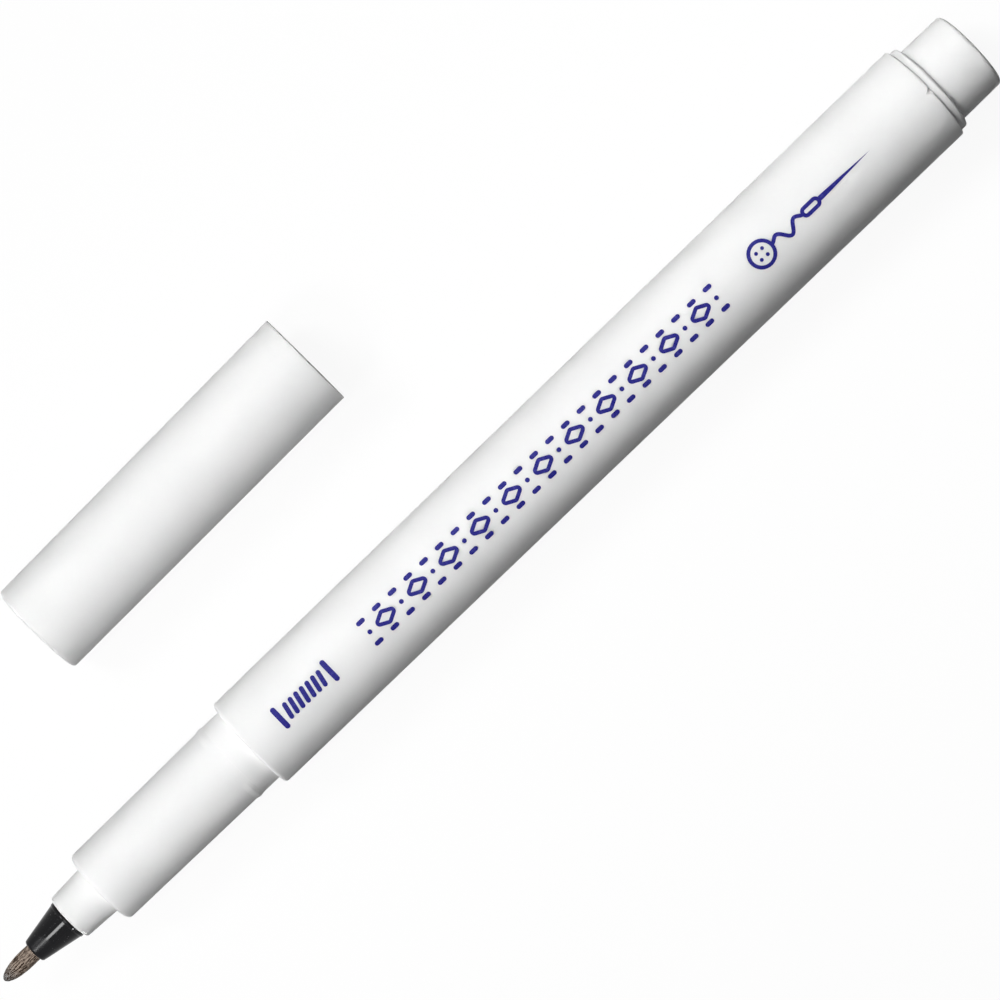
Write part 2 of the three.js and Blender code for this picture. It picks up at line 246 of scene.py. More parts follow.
class CapSizes(PropertyGroup):
    """Sizes of the cap and its liner."""

    end: length("Closed end", "Diameter of the cap at its closed end", 10.7)
    end_round: length("End edge", "Rounding of the cap's closed end", 0.35)
    end_wall: length("End wall", "Thickness of the cap's closed end", 1.5)
    bore: length("Bore", "Diameter inside the cap", 9.4)
    mouth_round: length("Mouth edge", "Rounding of the mouth's outer edge", 0.08)
    mouth_chamfer: length("Mouth chamfer", "Chamfer of the mouth's inner edge", 0.2)
    rim: length("Snap rim", "Diameter of the snap rim inside the mouth", 9.15)
    rim_width: length("Rim width", "Width of the snap rim", 0.7)
    rim_setback: length("Rim setback", "From the mouth to the snap rim", 1.475)
    liner_bore: length("Liner bore", "Diameter inside the liner", 5.95)
    liner_wall: length("Liner wall", "Thickness of the liner's tube", 0.7)
    liner_base: length("Liner base", "Thickness of the liner's end disc", 1.2)
    liner_lip: length("Liner lip", "Diameter inside the liner's sealing lip", 5.7)
    lip_width: length("Lip width", "Width of the liner's sealing lip", 0.8)


class PrintSizes(PropertyGroup):
    """Sizes and places of the printed ornament. Places run from the nib's tip."""

    turn: angle("Print turn", "Middle line of the print, from the top towards -Y", 3)
    ink: length("Ink", "Thickness of the printed ink", 0.012)
    half_height: length("Half height", "From the print's middle line to its edge", 1.62)
    line: length("Line", "Width of a printed line", 0.5)
    thread: length("Thread", "Width of a printed thread", 0.41)
    spool_start: length("Spool", "Where the spool starts", 38.8)
    spool_length: length("Spool length", "Length of the spool", 7.4)
    flange_line: length("Flange line", "Width of a line at the spool's end", 0.575)
    winding: length("Winding", "From one turn of thread on the spool to the next", 0.78)
    wound: share("Wound", "Height of the wound thread, as a share of the spool's ends", 0.68)
    border_start: length("Border", "Where the stitched border starts", 50.8)
    border_length: length("Border length", "Length of the stitched border", 50.2)
    stitch: length("Stitch", "Length of a stitch", 1.55)
    stitch_gap: length("Stitch gap", "Gap between two stitches", 0.65)
    diamond_width: length("Diamond width", "Width of a diamond between the stitches", 2.7)
    diamond_height: length("Diamond height", "Height of a diamond between the stitches", 1.4)
    button_start: length("Button", "Where the button at the thread's end starts", 104.7)
    button_line: length("Button line", "Width of the button's rim", 0.4)
    button_hole: length("Button hole", "Diameter of a hole of the button", 0.4)
    button_holes: length("Button holes", "From the button's middle to a hole, each way", 0.42)
    thread_run: length("Thread run", "From the button to the needle's eye", 4.4)
    thread_swing: length("Thread swing", "How far the loose thread swings aside", 0.75)
    thread_turns: IntProperty(name="Thread turns", description="Swings of the thread", default=3, min=1)
    eye_length: length("Eye length", "Length of the needle's eye", 2.1)
    eye_height: length("Eye height", "Height of the needle's eye", 0.82)
    needle_line: length("Needle line", "Width of the needle behind its eye", 0.6)
    needle_end: length("Needle's end", "Where the needle's point is", 121.3)


class Finishes(PropertyGroup):
    """Colours of the pen's materials, and how deep light goes."""

    white: colour("White plastic", "Moulded shells and cap", (0.885, 0.885, 0.88))
    scatter: length("Scatter", "How far light spreads inside the white plastic", 0.6)
    black: colour("Black plastic", "Nib holder", (0.004, 0.004, 0.005))
    dust: colour("Dust", "Specks of dust on the nib holder", (0.45, 0.45, 0.47))
    fibre: colour("Nib fibre", "Lighter fibres of the nib", (0.37, 0.295, 0.24))
    # Painted shade: the colour laid into the grooves between the nib's strands
    groove_shade_colour: colour("Dark fibre", "Ink-soaked fibres of the nib", (0.045, 0.03, 0.022))
    reservoir: colour("Reservoir", "Fibre of the ink reservoir", (0.62, 0.68, 0.86))
    film: colour("Film", "Wrap round the reservoir", (0.85, 0.88, 0.92))
    ink: colour("Print", "Printed ornament", (0.024, 0.022, 0.22))


class StageSizes(PropertyGroup):
    """Camera, floor and lamps."""

    pen_angle: angle("Pen angle", "Slant of the pen in the picture", 43.95)
    view_along: length("View along", "Middle of the picture, from the nib's tip", 70.2)
    view_aside: length("View aside", "Middle of the picture, from the pen's axis", 0.175)
    view_height: length("View height", "Camera above the pen's axis", 490)
    view_width: length("View width", "Width of the picture at the pen's axis", 101.7)
    floor_size: length("Floor", "Side of the floor", 3000)
    floor_bounce: colour("Floor bounce", "Light that the floor throws back", (0.08, 0.084, 0.084))
    shadow_near: length("Shadow near", "Distance to which the floor shows shadows fully", 90)
    shadow_far: length("Shadow far", "Distance at which the floor shows none", 220)
    shadow_share: share("Shadow share", "Depth of the shadows", 0.07)
    point_lamp: place_property("Point lamp", "Small lamp beyond the nib", (-215, 6, 278))
    point_aim: place_property("Point aim", "Where the lamp beyond the nib looks", (-70, 0, 0))
    point_size: length("Point lamp size", "Side of the lamp beyond the nib", 86)
    point_beam: angle("Point beam", "Spread of the lamp beyond the nib", 47)
    point_power: power("Point power", "Power of the lamp beyond the nib", 0.042)
    front_lamp: place_property("Front lamp", "Lamp over the front of the pen", (-60, 10, 300))
    front_aim: place_property("Front aim", "Where the lamp over the front looks", (-50, 0, 0))
    front_size: length("Front lamp size", "Side of the lamp over the front", 150)
    front_beam: angle("Front beam", "Spread of the lamp over the front", 60)
    front_power: power("Front power", "Power of the lamp over the front", 0.024)
    main_lamp: place_property("Main lamp", "Lamp for the barrel and the cap", (-112, 315, 490))
    main_aim: place_property("Main aim", "Where the main lamp looks", (184, 8, 0))
    main_size: length("Main lamp size", "Side of the main lamp", 300)
    main_beam: angle("Main beam", "Spread of the main lamp", 43.5)
    main_power: power("Main power", "Power of the main lamp", 0.445)
    side_lamp: place_property("Side lamp", "Low weak lamp beyond the cap", (60, 460, 180))
    side_aim: place_property("Side aim", "Where the lamp beyond the cap looks", (0, 0, 0))
    side_size: length("Side lamp size", "Side of the lamp beyond the cap", 300)
    side_beam: angle("Side beam", "Spread of the lamp beyond the cap", 60)
    side_power: power("Side power", "Power of the lamp beyond the cap", 0.024)
    surround: share("Surround", "Light from all round", 0.027)


# Turned shapes


def corner(along, radius, edge=0.0):
    """A corner of an outline: station, radius, and how far its edge is rounded."""
    return Vector((along, radius)), edge


def reach_of(here, before, after):
    """How far from a corner the rounding of its edge starts."""
    at, edge = here
    if edge == 0:
        return 0.0
    return edge / math.tan((before[0] - at).angle(after[0] - at) / 2)


def eased_corner(here, before, after, reach, free_before, free_after):
    """The points that replace a rounded corner: an arc with a holding point at each side."""
    at, edge = here
    to_before, to_after = (before[0] - at).normalized(), (after[0] - at).normalized()
    half = to_before.angle(to_after) / 2
    middle = at + (to_before + to_after).normalized() * edge / math.sin(half)
    start, end = at + to_before * reach, at + to_after * reach
    turn = math.pi - 2 * half
    arc = []
    for step in range(ARC_STEPS + 1):
        part = step / ARC_STEPS
        spoke = (start - middle) * math.sin((1 - part) * turn) + (end - middle) * math.sin(part * turn)
        arc.append(middle + spoke / math.sin(turn))
    hold_before, hold_after = min(HOLD, free_before / 3), min(HOLD, free_after / 3)
    return [start + to_before * hold_before, *arc, end + to_after * hold_after]


def outline(corners, ring):
    """The points of an outline, closed on itself where it is a ring."""
    count = len(corners)
    ends = () if ring else (0, count - 1)
    befores = [corners[i - 1] for i in range(count)]
    afters = [corners[(i + 1) % count] for i in range(count)]
    reaches = [
        0.0 if i in ends else reach_of(corners[i], befores[i], afters[i]) for i in range(count)
    ]
    free = [
        (corners[i][0] - afters[i][0]).length - reaches[i] - reaches[(i + 1) % count]
        for i in range(count)
    ]
    points = []
    for i, here in enumerate(corners):
        if reaches[i] == 0:
            points.append(here[0])
        else:
            points += eased_corner(here, befores[i], afters[i], reaches[i], free[i - 1], free[i])
    return points


def turned(name, corners, place, ring=False, segments=SEGMENTS, relief=None, depth=0.0):
    """A round solid about its own X axis.

    relief(point) gives how far down a point sinks, as a share of the depth. The share is kept in the
    mesh as "groove", for the material.
    """
    mesh = bmesh.new()
    groove = mesh.verts.layers.float.new("groove") if relief else None
    turns = [2 * math.pi * i / segments for i in range(segments)]
    spokes = [Vector((0, math.sin(turn), math.cos(turn))) for turn in turns]
    rows = []
    for along, radius in outline(corners, ring):
        if radius == 0:
            rows.append([mesh.verts.new((along, 0, 0))])
            continue
        row = []
        for spoke in spokes:
            at = Vector((along, 0, 0)) + radius * spoke
            sunk = relief(at) if relief else 0.0
            row.append(mesh.verts.new(at - depth * sunk * spoke))
            if relief:
                row[-1][groove] = sunk
        rows.append(row)
    pairs = list(zip(rows, rows[1:]))
    if ring:
        pairs.append((rows[-1], rows[0]))
    for front, rear in pairs:
        for i in range(segments):
            j = (i + 1) % segments
            if len(front) == 1:
                mesh.faces.new((front[0], rear[i], rear[j]))
            elif len(rear) == 1:
                mesh.faces.new((front[j], front[i], rear[0]))
            else:
                mesh.faces.new((front[j], front[i], rear[i], rear[j]))
    return finished(name, mesh, place)


def finished(name, mesh, place):
    """A smooth-shaded object from a bmesh, with its faces turned out."""
    bmesh.ops.recalc_face_normals(mesh, faces=mesh.faces)
    data = bpy.data.meshes.new(name)
    mesh.to_mesh(data)
    mesh.free()
    piece = bpy.data.objects.new(name, data)
    piece.matrix_world = place
    bpy.context.scene.collection.objects.link(piece)
    return smoothed(piece)


def smoothed(piece):
    """Smooth shading, apart from an object's sharp edges."""
    piece.data.shade_smooth()
    piece.data.set_sharp_from_angle(angle=SHARP_ANGLE)
    return piece


def bars(name, front, rear, low, high, width, turns):
    """Bars along X that stand out from the pen's axis, one at each turn from the top."""
    size = Matrix.Diagonal((rear - front, width, high - low, 1))
    middle = Matrix.Translation(((front + rear) / 2, 0, (low + high) / 2))
    made = []
    for turn in turns:
        mesh = bmesh.new()
        spin = Matrix.Rotation(turn, 4, "X")
        bmesh.ops.create_cube(mesh, size=1, matrix=spin @ middle @ size)
        made.append(finished(name, mesh, pen_place()))
    return made


def cone_to(name, station, distance, reach, width, turn):
    """A cone that points to -X, of the given width at a station, and that runs on as far again."""
    mesh = bmesh.new()
    flat = Matrix.Rotation(-math.pi / 2, 4, "Y")
    spot = Matrix.Rotation(turn, 4, "X") @ Matrix.Translation((station, 0, distance))
    bmesh.ops.create_cone(
        mesh,
        cap_ends=True,
        segments=CONE_SEGMENTS,
        radius1=width,
        radius2=0,
        depth=2 * reach,
        matrix=spot @ flat,
    )
    return finished(name, mesh, pen_place())


def combine(piece, tools, operation):
    """Cuts the tools from a piece, or joins them to it, and removes the tools."""
    for tool in tools:
        step = piece.modifiers.new(tool.name, "BOOLEAN")
        step.operation = operation
        step.solver = "EXACT"
        step.object = tool
    bpy.context.view_layer.update()
    made = piece.evaluated_get(bpy.context.evaluated_depsgraph_get())
    data = bpy.data.meshes.new_from_object(made)
    piece.modifiers.clear()
    old, piece.data = piece.data, data
    bpy.data.meshes.remove(old)
    for tool in tools:
        bpy.data.objects.remove(tool)
    smoothed(piece)


# Printed lines


def dense(points, ring):
    """The same path with no stretch longer than the print's step."""
    path = []
    ends = points[1:] + points[:1] if ring else points[1:]
    for start, end in zip(points, ends):
        steps = max(1, math.ceil((end - start).length / PRINT_STEP))
        path += [start.lerp(end, step / steps) for step in range(steps)]
    return path if ring else [*path, points[-1]]


def round_ended(path, half):
    """A path's points with the line's half width at each, rounded off at both ends."""
    arcs = []
    for tip, inner in ((path[0], path[1]), (path[-1], path[-2])):
        inward = (inner - tip).normalized() * half
        leans = [(step + END_START) / END_STEPS * math.pi / 2 for step in range(END_STEPS)]
        arcs.append([(tip + inward * (1 - math.cos(a)), half * math.sin(a)) for a in leans])
    first, last = path[0], path[-1]
    middle = [(at, half) for at in path if min((at - first).length, (at - last).length) >= half]
    return [*arcs[0], *middle, *reversed(arcs[1])]


def stroke(mesh, points, width, wrap, ring=False, taper=0.0):
    """A printed line through flat points, as a thin closed strip. It may taper to its last point."""
    path = dense([Vector(point) for point in points], ring)
    half = width / 2
    line = [(at, half) for at in path] if ring else round_ended(path, half)
    if taper:
        thinnest, tip = THINNEST * half, path[-1]
        line = [(at, max(thinnest, h * min(1.0, (at - tip).length / taper))) for at, h in line]
    rows = []
    for i, (at, reach) in enumerate(line):
        before = line[i - 1][0] if ring or i > 0 else at
        after = line[(i + 1) % len(line)][0] if ring or i < len(line) - 1 else at
        along = (after - before).normalized()
        side = Vector((-along.y, along.x)) * reach
        section = ((side, 1), (-side, 1), (-side, -1), (side, -1))
        rows.append([mesh.verts.new(wrap(at + offset, level)) for offset, level in section])
    pairs = list(zip(rows, rows[1:]))
    if ring:
        pairs.append((rows[-1], rows[0]))
    else:
        mesh.faces.new(rows[0])
        mesh.faces.new(rows[-1][::-1])
    for front, rear in pairs:
        for k in range(4):
            n = (k + 1) % 4
            mesh.faces.new((front[k], front[n], rear[n], rear[k]))


def diamond(middle, width, height, edge):
    """The flat outline of a diamond with rounded corners."""
    spots = ((-width / 2, 0), (0, height / 2), (width / 2, 0), (0, -height / 2))
    return outline([corner(middle + along, up, edge) for along, up in spots], True)


def slot_shape(middle, width, height):
    """The flat outline of a slot, nearly as round at its ends as its height allows."""
    along, up = width / 2, height / 2
    spots = ((-along, -up), (-along, up), (along, up), (along, -up))
    return outline([corner(middle + x, y, SLOT_ROUND * up) for x, y in spots], True)


def circle(middle, radius):
    """The flat outline of a circle."""
    count = math.ceil(2 * math.pi * radius / PRINT_STEP)
    turns = [2 * math.pi * i / count for i in range(count)]
    return [(middle + radius * math.cos(turn), radius * math.sin(turn)) for turn in turns]


def paint(piece, slot):
    """Gives an object the material that dresses a slot, and no other."""
    piece.data.materials.clear()
    piece.data.materials.append(material(slot))


def dress(piece, node, body, slot):
    """Lets a piece stand for its CAD node, ride on its body and wear its material."""
    paint(piece, slot)
    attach(piece, body)
    if node:
        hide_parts(node)


# Shader node groups


def add(tree, kind, **settings):
    """A node with its properties set."""
    node = tree.nodes.new(kind)
    for name, value in settings.items():
        setattr(node, name, value)
    return node


def feed(tree, node, values):
    """Gives a node's inputs their values: a socket is linked, and a constant is set."""
    for label, value in values.items():
        if isinstance(value, bpy.types.NodeSocket):
            tree.links.new(value, node.inputs[label])
        else:
            node.inputs[label].default_value = value


def mapped(tree, value, low, high, to_low, to_high):
    """A value mapped from one range to another, and held inside it."""
    node = add(tree, "ShaderNodeMapRange", clamp=True)
    feed(tree, node, {"Value": value, "From Min": low, "From Max": high})
    feed(tree, node, {"To Min": to_low, "To Max": to_high})
    return node.outputs["Result"]


def spread(tree, value, to_low, to_high):
    """A noise mapped to a range, from the range that most of it lies in."""
    return mapped(tree, value, NOISE_LOW, NOISE_HIGH, to_low, to_high)


def noise_at(tree, vector, scale, detail=2.0, roughness=0.5):
    """Noise with one feature every 1 / scale metres."""
    node = add(tree, "ShaderNodeTexNoise")
    feed(tree, node, {"Vector": vector, "Scale": scale, "Detail": detail, "Roughness": roughness})
    return node.outputs["Fac"]


def stretched(tree, vector, scales):
    """Coordinates multiplied by a scale on each axis."""
    node = add(tree, "ShaderNodeVectorMath", operation="MULTIPLY")
    feed(tree, node, {0: vector, 1: scales})
    return node.outputs["Vector"]


def calculated(tree, operation, *values):
    """A Math node's result. Each value is a socket or a number."""
    node = add(tree, "ShaderNodeMath", operation=operation)
    feed(tree, node, dict(enumerate(values)))
    return node.outputs["Value"]


def station(tree, vector):
    """A point's place along X."""
    node = add(tree, "ShaderNodeSeparateXYZ")
    feed(tree, node, {"Vector": vector})
    return node.outputs["X"]


def seen_share(tree):
    """1 for what the camera sees, directly, in gloss or through glass, and 0 for light alone."""
    rays = add(tree, "ShaderNodeLightPath").outputs
    seen = calculated(tree, "MAXIMUM", rays["Is Camera Ray"], rays["Is Glossy Ray"])
    return calculated(tree, "MAXIMUM", seen, rays["Is Transmission Ray"])


def new_group(name, numbers, results):
    """An empty shader node group that takes a vector and numbers.

    Comes with the sockets of what it is given, and the node that its results are fed to.
    """
    group = bpy.data.node_groups.new(name, "ShaderNodeTree")
    group.interface.new_socket("Vector", in_out="INPUT", socket_type="NodeSocketVector")
    for label, default in numbers.items():
        socket = group.interface.new_socket(label, in_out="INPUT", socket_type="NodeSocketFloat")
        socket.default_value = default
    for label in results:
        group.interface.new_socket(label, in_out="OUTPUT", socket_type="NodeSocketFloat")
    return group, add(group, "NodeGroupInput").outputs, add(group, "NodeGroupOutput")


def moulded_grain_group():
    """The faint flow marks and fine grain that a mould leaves on plastic."""
    group, given, result = new_group("moulded_grain", {"Flow": 0.5}, ("Height", "Variation"))
    flow = noise_at(group, stretched(group, given["Vector"], (90, 420, 420)), 1.0, 3)
    grain = noise_at(group, given["Vector"], 9000)
    dimple = noise_at(group, given["Vector"], 1400)
    height = calculated(group, "MULTIPLY", flow, given["Flow"])
    for part, weight in ((grain, 0.12), (dimple, 0.35)):
        height = calculated(group, "MULTIPLY_ADD", part, weight, height)
    feed(group, result, {"Height": height, "Variation": flow})


def handling_marks_group():
    """Hairline scratches and dull patches left by handling."""
    group, given, result = new_group("handling_marks", {"Amount": 0.3}, ("Scratches", "Dullness"))
    patches = noise_at(group, given["Vector"], 160, 3, 0.6)
    hairline = 0.006
    lines = []
    for scales in ((60, 2600, 900), (110, 800, 3100)):
        streak = noise_at(group, stretched(group, given["Vector"], scales), 1.0, 1)
        ridge = calculated(group, "ABSOLUTE", calculated(group, "SUBTRACT", streak, 0.5))
        lines.append(mapped(group, ridge, 0.0, hairline, 1.0, 0.0))
    crossed = calculated(group, "MAXIMUM", *lines)
    broken = calculated(group, "MULTIPLY", crossed, mapped(group, patches, 0.5, 0.62, 0.0, 1.0))
    scratches = calculated(group, "MULTIPLY", broken, given["Amount"])
    worn = mapped(group, patches, 0.42, 0.7, 0.0, 1.0)
    dullness = calculated(group, "MULTIPLY", worn, given["Amount"])
    feed(group, result, {"Scratches": scratches, "Dullness": dullness})


def dust_specks_group():
    """Sparse specks of dust."""
    group, given, result = new_group("dust_specks", {"Cells": 1300.0, "Size": 0.22}, ("Specks",))
    cells = add(group, "ShaderNodeTexVoronoi")
    feed(group, cells, {"Vector": given["Vector"], "Scale": given["Cells"]})
    chance = add(group, "ShaderNodeSeparateColor")
    feed(group, chance, {"Color": cells.outputs["Color"]})
    bare_cells = 0.75
    chosen = calculated(group, "GREATER_THAN", chance.outputs["Red"], bare_cells)
    reach = calculated(group, "MULTIPLY", chance.outputs["Green"], given["Size"])
    inside = calculated(group, "LESS_THAN", cells.outputs["Distance"], reach)
    feed(group, result, {"Specks": calculated(group, "MULTIPLY", chosen, inside)})


def fibre_bundle_group():
    """Parallel fibres along X: streaks on a bundle's side and dots on its end."""
    group, given, result = new_group("fibre_bundle", {"Fibres": 14000.0}, ("Strands", "Clumps"))
    fine = noise_at(group, stretched(group, given["Vector"], (0.2, 1, 1)), given["Fibres"])
    coarse = noise_at(group, stretched(group, given["Vector"], (150, 2300, 2300)), 1.0)
    feed(group, result, {"Strands": fine, "Clumps": coarse})


GROUPS = {
    "moulded_grain": moulded_grain_group,
    "handling_marks": handling_marks_group,
    "dust_specks": dust_specks_group,
    "fibre_bundle": fibre_bundle_group,
}


def place_group(tree, name, vector, **numbers):
    """Puts a shared group in a material, with its own numbers, and gives the group's outputs."""
    if name not in bpy.data.node_groups:
        GROUPS[name]()
    node = add(tree, "ShaderNodeGroup", node_tree=bpy.data.node_groups[name])
    feed(tree, node, {"Vector": vector, **numbers})
    return node.outputs


# Materials


def dressed(slot):
    """Name of the material that dresses a slot. The frame's plain ones have the slots' own names."""
    return f"dressed_{slot}"


def new_material(slot, looks, settings):
    """A material whose Principled shader takes its inputs from one of the functions below."""
    made = bpy.data.materials.new(dressed(slot))
    made.use_nodes = True
    tree = made.node_tree
    shader = tree.nodes["Principled BSDF"]
    shader.subsurface_method = "BURLEY"
    vector = add(tree, "ShaderNodeTexCoord").outputs["Object"]
    feed(tree, shader, looks(tree, vector, settings))
    return made


def shaded(tint, factor, lift=0.0):
    """A colour with its channels multiplied, and lifted."""
    return tuple(min(1.0, factor * channel + lift) for channel in tint)


def blended(tree, part, first, second):
    """A colour between two: each is a socket or a linear colour."""
    node = add(tree, "ShaderNodeMix", data_type="RGBA")
    feed(tree, node, {"Factor": part})
    for place, value in ((MIX_A, first), (MIX_B, second)):
        feed(tree, node, {place: (*value, 1) if isinstance(value, tuple) else value})
    return node.outputs[MIX_RESULT]


def bumped(tree, height, distance):
    """The normal of a surface that a height raises by up to a distance."""
    node = add(tree, "ShaderNodeBump")
    feed(tree, node, {"Height": height, "Distance": distance, "Strength": 1.0})
    return node.outputs["Normal"]


def white_plastic_looks(tree, vector, finish):
    """Semi-gloss moulded white that light enters a little way."""
    tint = tuple(finish.white)
    roughness, dulled_by, darker = 0.4, 0.2, 0.955
    grain = place_group(tree, "moulded_grain", vector, Flow=0.5)
    marks = place_group(tree, "handling_marks", vector, Amount=0.3)
    shade = spread(tree, grain["Variation"], 0.0, 0.3)
    duller = calculated(tree, "MAXIMUM", shade, marks["Scratches"])
    relief = calculated(tree, "SUBTRACT", grain["Height"], marks["Scratches"])
    return {
        "Base Color": blended(tree, duller, tint, shaded(tint, darker)),
        "Roughness": calculated(tree, "MULTIPLY_ADD", marks["Dullness"], dulled_by, roughness),
        "IOR": 1.2,
        "Subsurface Weight": 1.0,
        "Subsurface Radius": (1, 1, 1),
        "Subsurface Scale": finish.scatter,
        "Normal": bumped(tree, relief, 0.004 * MM),
    }


def black_plastic_looks(tree, vector, finish):
    """Glossy moulded black, duller towards the nib, with specks of dust."""
    tint = tuple(finish.black)
    front, _ = span("nib_holder")
    dull_end, gloss_start, wander = front + 1.75 * MM, front + 2.35 * MM, 0.25 * MM
    dull_roughness, gloss_roughness, dulled_by = 0.28, 0.06, 0.1
    grain = place_group(tree, "moulded_grain", vector, Flow=0.3)
    marks = place_group(tree, "handling_marks", vector, Amount=0.4)
    specks = place_group(tree, "dust_specks", vector, Cells=1200.0, Size=0.2)
    powder = place_group(tree, "dust_specks", vector, Cells=4500.0, Size=0.35)
    powder_strength = 0.12
    faint = calculated(tree, "MULTIPLY", powder["Specks"], powder_strength)
    dust = calculated(tree, "MAXIMUM", specks["Specks"], faint)
    plain = blended(tree, marks["Scratches"], tint, shaded(tint, 1.0, lift=0.02))
    aside = spread(tree, noise_at(tree, vector, 900, 3), -wander, wander)
    along = calculated(tree, "ADD", station(tree, vector), aside)
    dull = mapped(tree, along, dull_end, gloss_start, dull_roughness, gloss_roughness)
    rough = calculated(tree, "MULTIPLY_ADD", marks["Dullness"], dulled_by, dull)
    return {
        "Base Color": blended(tree, dust, plain, tuple(finish.dust)),
        "Roughness": calculated(tree, "MAXIMUM", rough, dust),
        "IOR": 1.25,
        "Normal": bumped(tree, grain["Height"], 0.002 * MM),
    }


def nib_fibre_looks(tree, vector, finish):
    """Bonded fibre, with painted shade in its grooves, light on its strands, and greyer at the worn
    tip.
    """
    light, dark = tuple(finish.fibre), tuple(finish.groove_shade_colour)
    tip, _ = span("nib")
    worn_end, fresh_start = tip + 0.3 * MM, tip + 1.9 * MM
    bundle = place_group(tree, "fibre_bundle", vector, Fibres=9000.0)
    groove = add(tree, "ShaderNodeAttribute", attribute_name="groove").outputs["Fac"]
    deep = mapped(tree, groove, 0.4, 0.7, 0.0, 1.0)
    strands = mapped(tree, bundle["Strands"], 0.42, 0.58, 0.4, -0.1)
    # Painted shade: dark where the mesh's grooves sink and where the strands' bump is low
    painted_groove_shade = mapped(tree, calculated(tree, "ADD", deep, strands), 0.0, 1.0, 0.0, 1.0)
    worn = mapped(tree, station(tree, vector), worn_end, fresh_start, 1.0, 0.0)
    grey = 0.8 * sum(light) / len(light)
    strand = blended(tree, worn, light, (grey, grey, grey))
    return {
        "Base Color": blended(tree, painted_groove_shade, strand, dark),
        "Roughness": spread(tree, bundle["Clumps"], 0.7, 0.9),
        "IOR": 1.1,
        "Normal": bumped(tree, bundle["Strands"], 0.03 * MM),
    }


def reservoir_fibre_looks(tree, vector, finish):
    """Soft bonded fibre, tinted by pale ink."""
    light = tuple(finish.reservoir)
    bundle = place_group(tree, "fibre_bundle", vector, Fibres=9000.0)
    strands = mapped(tree, bundle["Strands"], 0.36, 0.64, 0.0, 1.0)
    return {
        "Base Color": blended(tree, strands, shaded(light, 0.8), light),
        "Roughness": mapped(tree, strands, 0.0, 1.0, 0.6, 0.9),
        "Normal": bumped(tree, strands, 0.05 * MM),
    }


def clear_film_looks(tree, vector, finish):
    """Thin glossy wrap."""
    tint = tuple(finish.film)
    grain = place_group(tree, "moulded_grain", vector, Flow=1.0)
    shade = spread(tree, grain["Variation"], 0.0, 1.0)
    return {
        "Base Color": blended(tree, shade, tint, shaded(tint, 0.9)),
        "Roughness": mapped(tree, shade, 0.0, 1.0, 0.15, 0.3),
        "Normal": bumped(tree, grain["Height"], 0.02 * MM),
    }


def print_ink_looks(tree, vector, finish):
    """Screen-printed ink, a little uneven in its cover."""
    tint = tuple(finish.ink)
    cover = noise_at(tree, vector, 2200, 4, 0.65)
    thin = mapped(tree, cover, 0.52, 0.72, 0.0, 0.55)
    return {
        "Base Color": blended(tree, thin, tint, shaded(tint, 1.6, lift=0.05)),
        "Roughness": spread(tree, cover, 0.32, 0.5),
        "IOR": 1.2,
        "Normal": bumped(tree, cover, 0.004 * MM),
    }


def floor_paper_looks(tree, vector, sizes):
    """Pale floor: white to the eye, with soft shadows near the object, and little light thrown back."""
    seen = seen_share(tree)
    distance = add(tree, "ShaderNodeVectorMath", operation="LENGTH")
    feed(tree, distance, {0: vector})
    near = mapped(tree, distance.outputs["Value"], sizes.shadow_near, sizes.shadow_far, 1.0, 0.0)
    shadow = calculated(tree, "MULTIPLY", near, sizes.shadow_share)
    fleck = spread(tree, noise_at(tree, vector, 300, 3), 0.98, 1.0)
    lit = calculated(tree, "MULTIPLY", shadow, fleck)
    shown = add(tree, "ShaderNodeCombineColor")
    feed(tree, shown, {"Red": lit, "Green": lit, "Blue": lit})
    own = calculated(tree, "SUBTRACT", 1.0, shadow)
    return {
        "Base Color": blended(tree, seen, tuple(sizes.floor_bounce), shown.outputs["Color"]),
        "Roughness": 0.9,
        "Specular IOR Level": 0.0,
        "Emission Color": (1, 1, 1, 1),
        "Emission Strength": calculated(tree, "MULTIPLY", seen, own),
    }


MATERIALS = {
    "white_plastic": white_plastic_looks,
    "black_plastic": black_plastic_looks,
    "nib_fibre": nib_fibre_looks,
    "reservoir_fibre": reservoir_fibre_looks,
    "clear_film": clear_film_looks,
    "print_ink": print_ink_looks,
}


def material(slot):
    """The material that dresses a slot, made when it is first asked for."""
    made = bpy.data.materials.get(dressed(slot))
    return made or new_material(slot, MATERIALS[slot], bpy.context.scene.marker_finishes)


# Pieces


class MARKER_OT_barrel(Operator):
    """Build the barrel tube with its inner ribs"""

    bl_idname = "marker_pen.barrel"
    bl_label = "Barrel"

    def execute(self, context):
        sizes = context.scene.marker_body
        front, rear = span("barrel")
        radius, bore = widest("barrel"), sizes.barrel_bore / 2
        corners = [
            corner(front, sizes.barrel_front / 2, sizes.barrel_front_round),
            corner(rear, radius, sizes.barrel_rear_round),
            corner(rear, bore, EASED),
            corner(front, bore, EASED),
        ]
        barrel = turned("barrel_tube", corners, pen_place(), ring=True)
        _, ribs_front = span("front_section")
        ribs_rear, _ = span("end_plug")
        low, high = sizes.reservoir_socket / 2, bore + sizes.rib_width / 2
        turns = [2 * math.pi * i / sizes.rib_count for i in range(sizes.rib_count)]
        ribs = bars("rib", ribs_front, ribs_rear, low, high, sizes.rib_width, turns)
        combine(barrel, ribs, "UNION")
        mark = (sizes.gate_length, sizes.gate_width, sizes.gate_turn)
        combine(barrel, [cone_to("gate_mark", rear, radius, *mark)], "DIFFERENCE")
        dress(barrel, "barrel", "pen", "white_plastic")
        return {"FINISHED"}


